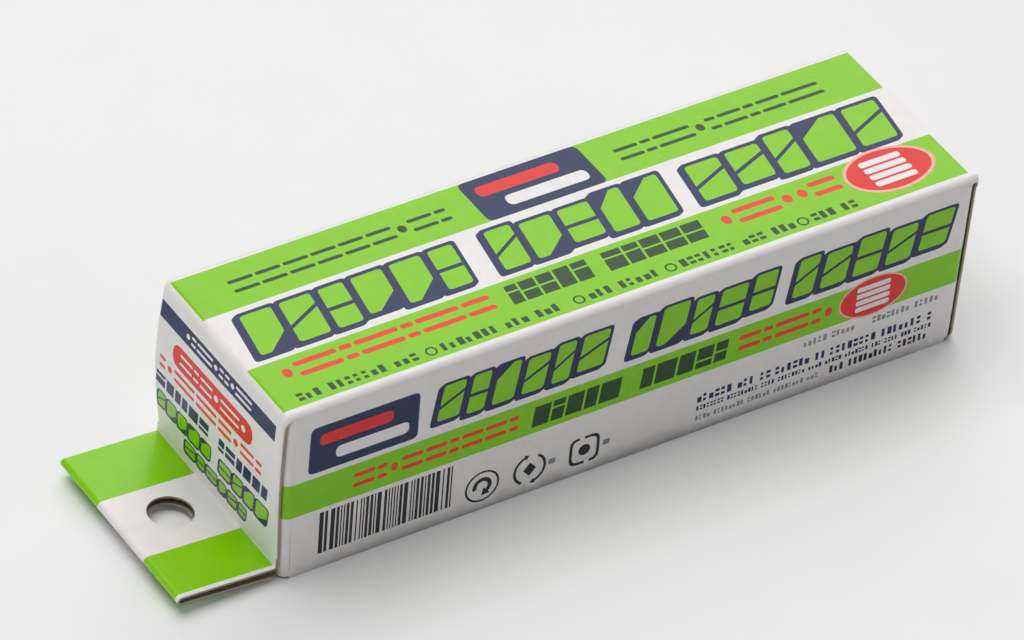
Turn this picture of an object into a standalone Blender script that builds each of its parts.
"""Hang-tab carton of two-part epoxy putty, with its four film packs.

The carton is one folded paperboard blank. It lies on its back panel: +X runs along its length from
the hang end (-X) to the base end (+X), -Y is the near side and +Z the front panel. The origin is the
centre of the back panel's outer face. Every panel is the outline of its outer face, extruded inwards
by the thickness of the board, and a flap that opens hangs on an empty that stands on its crease.
"""
import bpy
import bmesh
from math import cos, pi, radians, sin
from mathutils import Matrix, Vector

for old in list(bpy.data.objects):
    bpy.data.objects.remove(old, do_unlink=True)

# --- driving dimensions, in metres ---
LENGTH, WIDTH, HEIGHT = 0.138, 0.041, 0.036   # outside of the closed carton
BOARD = 0.00045                               # thickness of the board
GAP = 0.0003                                  # clearance between neighbouring pieces
MITRE = BOARD + GAP                           # a folded-in panel starts this far from its crease

END_HALF_WIDTH = 0.0199                       # both end panels are cut narrower than the carton
FLAP_REACH = 0.017                            # dust flap, from its crease to its tip
FLAP_TIP_RADIUS = 0.003
# Heights of a dust flap's corners: lower edge at the crease and tip, upper edge at the crease and tip.
# The edge beside the end panel's crease slopes at least as fast as that panel swings past the flap,
# and the other edge leaves room for the tongue on its way out.
HANG_FLAP_HEIGHTS = (0.0020, 0.0034, 0.0344, 0.0227)
BASE_FLAP_HEIGHTS = (0.0014, 0.0178, 0.0340, 0.0316)
GLUE_FLAP_HEIGHT = 0.012
GLUE_FLAP_SLANT = 0.003

TAB_LENGTH, TAB_HALF_WIDTH = 0.019, 0.020
TAB_TOP = 0.0028                              # height of the crease between end panel and tab
TAB_TILT = radians(3.3)                       # the tab's upper layer rises outwards
TAB_FOLD_RADIUS = 0.00085                     # outside of the fold at the tab's outer edge
HANG_HOLE_RADIUS = 0.004125
HANG_HOLE_REACH = 0.00906                     # hole centre, from the end panel
HOLE_SEGMENTS = 48
FOLD_SEGMENTS = 10

TONGUE_REACH = 0.011                          # both tuck tongues, from crease to tip
TONGUE_CORNER = 0.004
HANG_TONGUE_HALF_WIDTH = 0.0188
BASE_TONGUE_HALF_WIDTH = 0.0192
BASE_TONGUE_SLOPE = radians(4.5)              # it leans a little away from the front panel

PACKS = 4
PACK_LENGTH, PACK_THICKNESS, PACK_PITCH = 0.131, 0.0070, 0.00735
PACK_HALF_WIDTH, CRIMP_HALF_WIDTH = 0.0184, 0.01875
PACK_MIDDLE_Y = 0.00035                       # midway between the glue flap and the far side
CRIMP_THICKNESS = 0.0004
FILM = 0.00015
FULL_HALF_LENGTH, CRIMP_START = 0.0530, 0.0590
TAPER_STEPS = 4
FLAT_POINTS, SIDE_POINTS = 8, 7               # of a pack's section: its flat faces and round sides
VENT_X, VENT_LENGTH = 0.0480, 0.0015          # vent slit in the film, near the base end

BAR_LENGTH, BAR_WIDTH, BAR_THICKNESS = 0.104, 0.0156, 0.0050
BAR_SPACING = 0.0083                          # bar centre from the pack's middle
BAR_EDGE_RADIUS = 0.0012

X_END, Y_SIDE = LENGTH / 2, WIDTH / 2
FLAP_X = X_END - MITRE                        # outer face of the dust flaps
SHARP_ANGLE = radians(35)                     # edges that turn more than this stay sharp
PLANE_XY = (Vector((1, 0, 0)), Vector((0, 1, 0)))
PLANE_XZ = (Vector((1, 0, 0)), Vector((0, 0, 1)))
PLANE_YZ = (Vector((0, 1, 0)), Vector((0, 0, 1)))


def material(name, colour, roughness, metallic=0.0):
    mat = bpy.data.materials.new(name)
    mat.use_nodes = True
    shader = mat.node_tree.nodes["Principled BSDF"]
    shader.inputs["Base Color"].default_value = (*colour, 1.0)
    shader.inputs["Roughness"].default_value = roughness
    shader.inputs["Metallic"].default_value = metallic
    mat.diffuse_color = (*colour, 1.0)
    return mat


def add_object(name, mesh_builder, mat, parent=None):
    """Finish a bmesh as a named object; its mesh is stored relative to its parent's crease."""
    mesh = bpy.data.meshes.new(name)
    bmesh.ops.recalc_face_normals(mesh_builder, faces=mesh_builder.faces)
    mesh_builder.to_mesh(mesh)
    mesh_builder.free()
    mesh.shade_smooth()
    mesh.set_sharp_from_angle(angle=SHARP_ANGLE)
    mesh.materials.append(mat)
    obj = bpy.data.objects.new(name, mesh)
    bpy.context.collection.objects.link(obj)
    if parent is not None:
        mesh.transform(Matrix.Translation(-parent["at"].to_3d()))
        obj.parent = parent["empty"]
    return obj


def pivot(name, at, parent=None):
    """An empty on a joint's axis, which carries every piece of one moving body."""
    empty = bpy.data.objects.new(name, None)
    empty.empty_display_size = 0.005
    bpy.context.collection.objects.link(empty)
    at = Vector(at)
    empty.location = at if parent is None else at - parent["at"]
    if parent is not None:
        empty.parent = parent["empty"]
    return {"empty": empty, "at": at}


def round_corner(before, corner, after, radius, steps=6):
    """The points of an arc that rounds one corner of an outline."""
    before, corner, after = Vector(before), Vector(corner), Vector(after)
    to_before, to_after = (before - corner).normalized(), (after - corner).normalized()
    half_angle = to_before.angle(to_after) / 2
    centre = corner + (to_before + to_after).normalized() * radius / sin(half_angle)
    start = corner + to_before * radius * cos(half_angle) / sin(half_angle) - centre
    end = corner + to_after * radius * cos(half_angle) / sin(half_angle) - centre
    sweep = start.angle(end)
    arc = []
    for step in range(steps + 1):
        part = step / steps
        blend = start * sin((1 - part) * sweep) + end * sin(part * sweep)
        arc.append(tuple(centre + blend / sin(sweep)))
    return arc


def board(name, outline, plane, at, inward, mat, parent=None):
    """A flat panel: its outer face's outline in a plane through `at`, extruded inwards."""
    across, up = plane
    bm = bmesh.new()
    verts = [bm.verts.new(Vector(at) + across * u + up * v) for u, v in outline]
    face = bm.faces.new(verts)
    moved = bmesh.ops.extrude_face_region(bm, geom=[face])
    inner = [item for item in moved["geom"] if isinstance(item, bmesh.types.BMVert)]
    bmesh.ops.translate(bm, verts=inner, vec=Vector(inward) * BOARD)
    return add_object(name, bm, mat, parent)


def rectangle(u_low, u_high, v_low, v_high):
    return [(u_low, v_low), (u_high, v_low), (u_high, v_high), (u_low, v_high)]


def tongue_outline(half_width, start, reach, direction):
    """A tuck tongue in XY, from its root to a tip with rounded corners."""
    root, tip = start * direction, reach * direction
    lower = round_corner((root, -half_width), (tip, -half_width), (tip, half_width), TONGUE_CORNER)
    upper = round_corner((tip, -half_width), (tip, half_width), (root, half_width), TONGUE_CORNER)
    return [(root, -half_width)] + lower + upper + [(root, half_width)]


def flap_outline(side, heights):
    """A dust flap in YZ, measured from its crease towards the middle of the carton."""
    low_root, low_tip, high_root, high_tip = heights
    corners = [(MITRE, low_root), (FLAP_REACH, low_tip), (FLAP_REACH, high_tip), (MITRE, high_root)]
    lower = round_corner(corners[0], corners[1], corners[2], FLAP_TIP_RADIUS)
    upper = round_corner(corners[1], corners[2], corners[3], FLAP_TIP_RADIUS)
    outline = [corners[0]] + lower + upper + [corners[3]]
    return [(side * (Y_SIDE - u), z) for u, z in outline]


def build_sleeve(print_mat, inside_mat):
    """The four panels that stay put, and the glue flap that closes them into a sleeve."""
    board("front_panel", rectangle(-X_END + GAP, X_END, -Y_SIDE + GAP, Y_SIDE - GAP),
          PLANE_XY, (0, 0, HEIGHT), (0, 0, -1), print_mat)
    back_near_edge = -Y_SIDE + MITRE + GAP
    board("back_panel", rectangle(-X_END, X_END - GAP, back_near_edge, Y_SIDE - GAP),
          PLANE_XY, (0, 0, 0), (0, 0, 1), print_mat)
    side_end = FLAP_X - GAP
    board("near_side_panel", rectangle(-side_end, side_end, 0, HEIGHT - MITRE),
          PLANE_XZ, (0, -Y_SIDE, 0), (0, 1, 0), print_mat)
    board("far_side_panel", rectangle(-side_end, side_end, MITRE, HEIGHT - MITRE),
          PLANE_XZ, (0, Y_SIDE, 0), (0, -1, 0), print_mat)
    flap_end = X_END - GLUE_FLAP_SLANT
    flap_top = MITRE + GLUE_FLAP_HEIGHT
    outline = [(-flap_end, MITRE), (flap_end, MITRE),
               (flap_end - GLUE_FLAP_SLANT, flap_top), (-flap_end + GLUE_FLAP_SLANT, flap_top)]
    board("glue_flap", outline, PLANE_XZ, (0, -Y_SIDE + MITRE, 0), (0, 1, 0), inside_mat)


def build_hang_end(print_mat, inside_mat):
    """The end panel on the front panel's edge, and the two-layer hang tab that ends in a tongue."""
    lid = pivot("hang_lid_crease", (-X_END, 0, HEIGHT))
    board("hang_end_panel",
          rectangle(-END_HALF_WIDTH, END_HALF_WIDTH, TAB_TOP + GAP, HEIGHT - MITRE),
          PLANE_YZ, (-X_END, 0, 0), (1, 0, 0), print_mat, lid)

    tab = pivot("hang_tab_crease", (-X_END, 0, TAB_TOP), lid)
    outwards = Vector((-cos(TAB_TILT), 0, sin(TAB_TILT)))
    upwards = Vector((sin(TAB_TILT), 0, cos(TAB_TILT)))
    layer_length = TAB_LENGTH - TAB_FOLD_RADIUS - GAP
    layer = rectangle(0, layer_length, -TAB_HALF_WIDTH, TAB_HALF_WIDTH)
    front = board("hang_tab_front_layer", layer, (outwards, PLANE_XY[1]), tab["at"], -upwards,
                  print_mat, tab)

    fold_centre = tab["at"] + outwards * (TAB_LENGTH - TAB_FOLD_RADIUS) - upwards * TAB_FOLD_RADIUS
    build_fold(fold_centre, outwards, upwards, print_mat, tab)

    # The rear layer runs from under the fold to the carton's mouth, just above the back panel.
    mouth = Vector((-X_END - GAP, 0, MITRE))
    fold_bottom = fold_centre - upwards * TAB_FOLD_RADIUS - outwards * GAP
    along = fold_bottom - mouth
    rear_up = Vector((along.z, 0, -along.x)).normalized()
    layer = rectangle(0, along.length, -TAB_HALF_WIDTH, TAB_HALF_WIDTH)
    rear = board("hang_tab_rear_layer", layer, (along.normalized(), PLANE_XY[1]), mouth, rear_up,
                 print_mat, tab)

    cutter = hole_cutter(tab)
    for layer_object in (front, rear):
        cut = layer_object.modifiers.new("hang_hole", "BOOLEAN")
        cut.operation = "DIFFERENCE"
        cut.solver = "EXACT"
        cut.object = cutter

    outline = tongue_outline(HANG_TONGUE_HALF_WIDTH, 0, TONGUE_REACH, 1)
    board("hang_tab_tongue", outline, PLANE_XY, (-X_END, 0, MITRE), (0, 0, 1), inside_mat, tab)

    build_dust_flaps("hang", -1, HANG_FLAP_HEIGHTS, inside_mat)


def build_dust_flaps(end, end_side, heights, mat):
    """The two flaps that fold in from the side panels, behind one end panel."""
    for label, side in (("near", -1), ("far", 1)):
        crease = pivot(f"{end}_{label}_flap_crease", (end_side * FLAP_X, side * Y_SIDE, HEIGHT / 2))
        board(f"{end}_end_{label}_dust_flap", flap_outline(side, heights), PLANE_YZ,
              (end_side * FLAP_X, 0, 0), (-end_side, 0, 0), mat, crease)


def build_fold(centre, outwards, upwards, mat, tab):
    """Half a tube across the tab, joining the ends of its two layers."""
    bm = bmesh.new()
    profile = []
    for radius, order in ((TAB_FOLD_RADIUS, 1), (TAB_FOLD_RADIUS - BOARD, -1)):
        steps = range(FOLD_SEGMENTS + 1)
        for step in steps if order > 0 else reversed(steps):
            angle = pi * step / FOLD_SEGMENTS
            profile.append(centre + outwards * radius * sin(angle) + upwards * radius * cos(angle))
    edge = Vector((0, TAB_HALF_WIDTH, 0))
    face = bm.faces.new([bm.verts.new(point - edge) for point in profile])
    moved = bmesh.ops.extrude_face_region(bm, geom=[face])
    far_side = [item for item in moved["geom"] if isinstance(item, bmesh.types.BMVert)]
    bmesh.ops.translate(bm, verts=far_side, vec=2 * edge)
    add_object("hang_tab_fold", bm, mat, tab)


def hole_cutter(tab):
    """The punch for the round hang hole, through both layers of the tab."""
    depth = 4 * TAB_TOP
    bm = bmesh.new()
    place = Matrix.Translation((-X_END - HANG_HOLE_REACH, 0, TAB_TOP))
    bmesh.ops.create_cone(bm, cap_ends=True, segments=HOLE_SEGMENTS, radius1=HANG_HOLE_RADIUS,
                          radius2=HANG_HOLE_RADIUS, depth=depth, matrix=place)
    cutter = add_object("hang_hole_cutter", bm, material("cutter", (1, 0, 0), 0.5), tab)
    cutter.hide_render = True
    cutter.display_type = "WIRE"
    return cutter


def build_base_end(print_mat, inside_mat):
    """The end panel on the back panel's edge, whose tongue tucks under the front panel."""
    lid = pivot("base_lid_crease", (X_END, 0, 0))
    tongue_height = HEIGHT - MITRE
    panel_top = tongue_height - MITRE - GAP       # leaves the tongue room to fold further in
    board("base_end_panel",
          rectangle(-END_HALF_WIDTH, END_HALF_WIDTH, MITRE, panel_top),
          PLANE_YZ, (X_END, 0, 0), (-1, 0, 0), print_mat, lid)

    tongue = pivot("base_tongue_crease", (X_END, 0, tongue_height), lid)
    inwards = Vector((cos(BASE_TONGUE_SLOPE), 0, sin(BASE_TONGUE_SLOPE)))
    down = Vector((sin(BASE_TONGUE_SLOPE), 0, -cos(BASE_TONGUE_SLOPE)))
    outline = tongue_outline(BASE_TONGUE_HALF_WIDTH, GAP, TONGUE_REACH, -1)
    board("base_tongue", outline, (inwards, PLANE_XY[1]), tongue["at"], down, inside_mat, tongue)

    build_dust_flaps("base", 1, BASE_FLAP_HEIGHTS, inside_mat)


def pack_section(half_width, half_thickness):
    """A pack's cross-section in YZ: flat above and below, with rounded sides."""
    half_flat = half_width - half_thickness
    top = [(-half_flat + 2 * half_flat * step / (FLAT_POINTS - 1), half_thickness)
           for step in range(FLAT_POINTS)]
    right = []
    for step in range(1, SIDE_POINTS):
        angle = pi / 2 - pi * step / SIDE_POINTS
        right.append((half_flat + half_thickness * cos(angle), half_thickness * sin(angle)))
    bottom = [(y, -z) for y, z in reversed(top)]
    left = [(-y, z) for y, z in reversed(right)]
    return top + right + bottom + left


def pack_half_thickness(x):
    """Full over the bars, then falling in a smooth S to the flat crimped ends."""
    part = (abs(x) - FULL_HALF_LENGTH) / (CRIMP_START - FULL_HALF_LENGTH)
    part = min(max(part, 0.0), 1.0)
    ease = part * part * (3 - 2 * part)
    return PACK_THICKNESS / 2 * (1 - ease) + CRIMP_THICKNESS / 2 * ease


def loft(bm, stations, shrink):
    """A closed skin through the pack's sections; `shrink` moves it inwards for the inner face."""
    rings = []
    for x in stations:
        half_thickness = pack_half_thickness(x) - shrink
        crimped = abs(x) >= CRIMP_START
        half_width = (CRIMP_HALF_WIDTH if crimped else PACK_HALF_WIDTH) - shrink
        section = pack_section(half_width, half_thickness)
        rings.append([bm.verts.new((x, y, z)) for y, z in section])
    walls = []
    for first, second in zip(rings, rings[1:]):
        count = len(first)
        walls.append([bm.faces.new((first[i], first[(i + 1) % count],
                                    second[(i + 1) % count], second[i])) for i in range(count)])
    bm.faces.new(rings[0])
    bm.faces.new(rings[-1])
    return walls


def build_film_pack(index, film_mat, resin_mat, hardener_mat):
    """One heat-sealed film bag with a bar of resin and a bar of hardener side by side."""
    middle_z = MITRE + PACK_THICKNESS / 2 + PACK_PITCH * (index - 1)
    slide = pivot(f"pack_{index}_slide", (0, PACK_MIDDLE_Y, middle_z))

    taper = CRIMP_START - FULL_HALF_LENGTH
    slope = [FULL_HALF_LENGTH + taper * step / TAPER_STEPS for step in range(TAPER_STEPS + 1)]
    vent = [VENT_X, VENT_X + VENT_LENGTH]
    outer = [-PACK_LENGTH / 2] + [-x for x in reversed(slope)] + vent + slope + [PACK_LENGTH / 2]
    inner = outer[2:-2]
    bm = bmesh.new()
    outer_walls = loft(bm, outer, 0)
    inner_walls = loft(bm, inner, FILM)
    cut_vent(bm, outer_walls[outer.index(VENT_X)], inner_walls[inner.index(VENT_X)])
    place = Matrix.Translation(slide["at"])
    bmesh.ops.transform(bm, matrix=place, verts=bm.verts)
    add_object(f"film_pack_{index}", bm, film_mat, slide)

    for label, side, mat in (("resin", -1, resin_mat), ("hardener", 1, hardener_mat)):
        bm = bmesh.new()
        size = Matrix.Diagonal((BAR_LENGTH, BAR_WIDTH, BAR_THICKNESS, 1))
        middle = slide["at"] + Vector((0, side * BAR_SPACING, 0))
        bmesh.ops.create_cube(bm, size=1, matrix=Matrix.Translation(middle) @ size)
        bmesh.ops.bevel(bm, geom=bm.edges[:], offset=BAR_EDGE_RADIUS, segments=2, profile=0.5,
                        affect="EDGES", clamp_overlap=True)
        add_object(f"{label}_bar_{index}", bm, mat, slide)


def cut_vent(bm, outer_wall, inner_wall):
    """A slit through the film at the middle of the upper side, so that the bag can breathe."""
    middle = FLAT_POINTS // 2 - 1
    outer_face, inner_face = outer_wall[middle], inner_wall[middle]
    outer_ring, inner_ring = list(outer_face.verts), list(inner_face.verts)
    bmesh.ops.delete(bm, geom=[outer_face, inner_face], context="FACES_ONLY")
    count = len(outer_ring)
    for i in range(count):
        j = (i + 1) % count
        bm.faces.new((outer_ring[i], outer_ring[j], inner_ring[j], inner_ring[i]))


def build_carton():
    print_mat = material("printed_board", (0.48, 0.72, 0.16), 0.35)
    inside_mat = material("board_inside", (0.36, 0.32, 0.26), 0.85)
    film_mat = material("clear_film", (0.86, 0.88, 0.88), 0.15)
    resin_mat = material("resin_putty", (0.86, 0.78, 0.52), 0.6)
    hardener_mat = material("hardener_putty", (0.82, 0.82, 0.78), 0.6)
    build_sleeve(print_mat, inside_mat)
    build_hang_end(print_mat, inside_mat)
    build_base_end(print_mat, inside_mat)
    for index in range(1, PACKS + 1):
        build_film_pack(index, film_mat, resin_mat, hardener_mat)


build_carton()
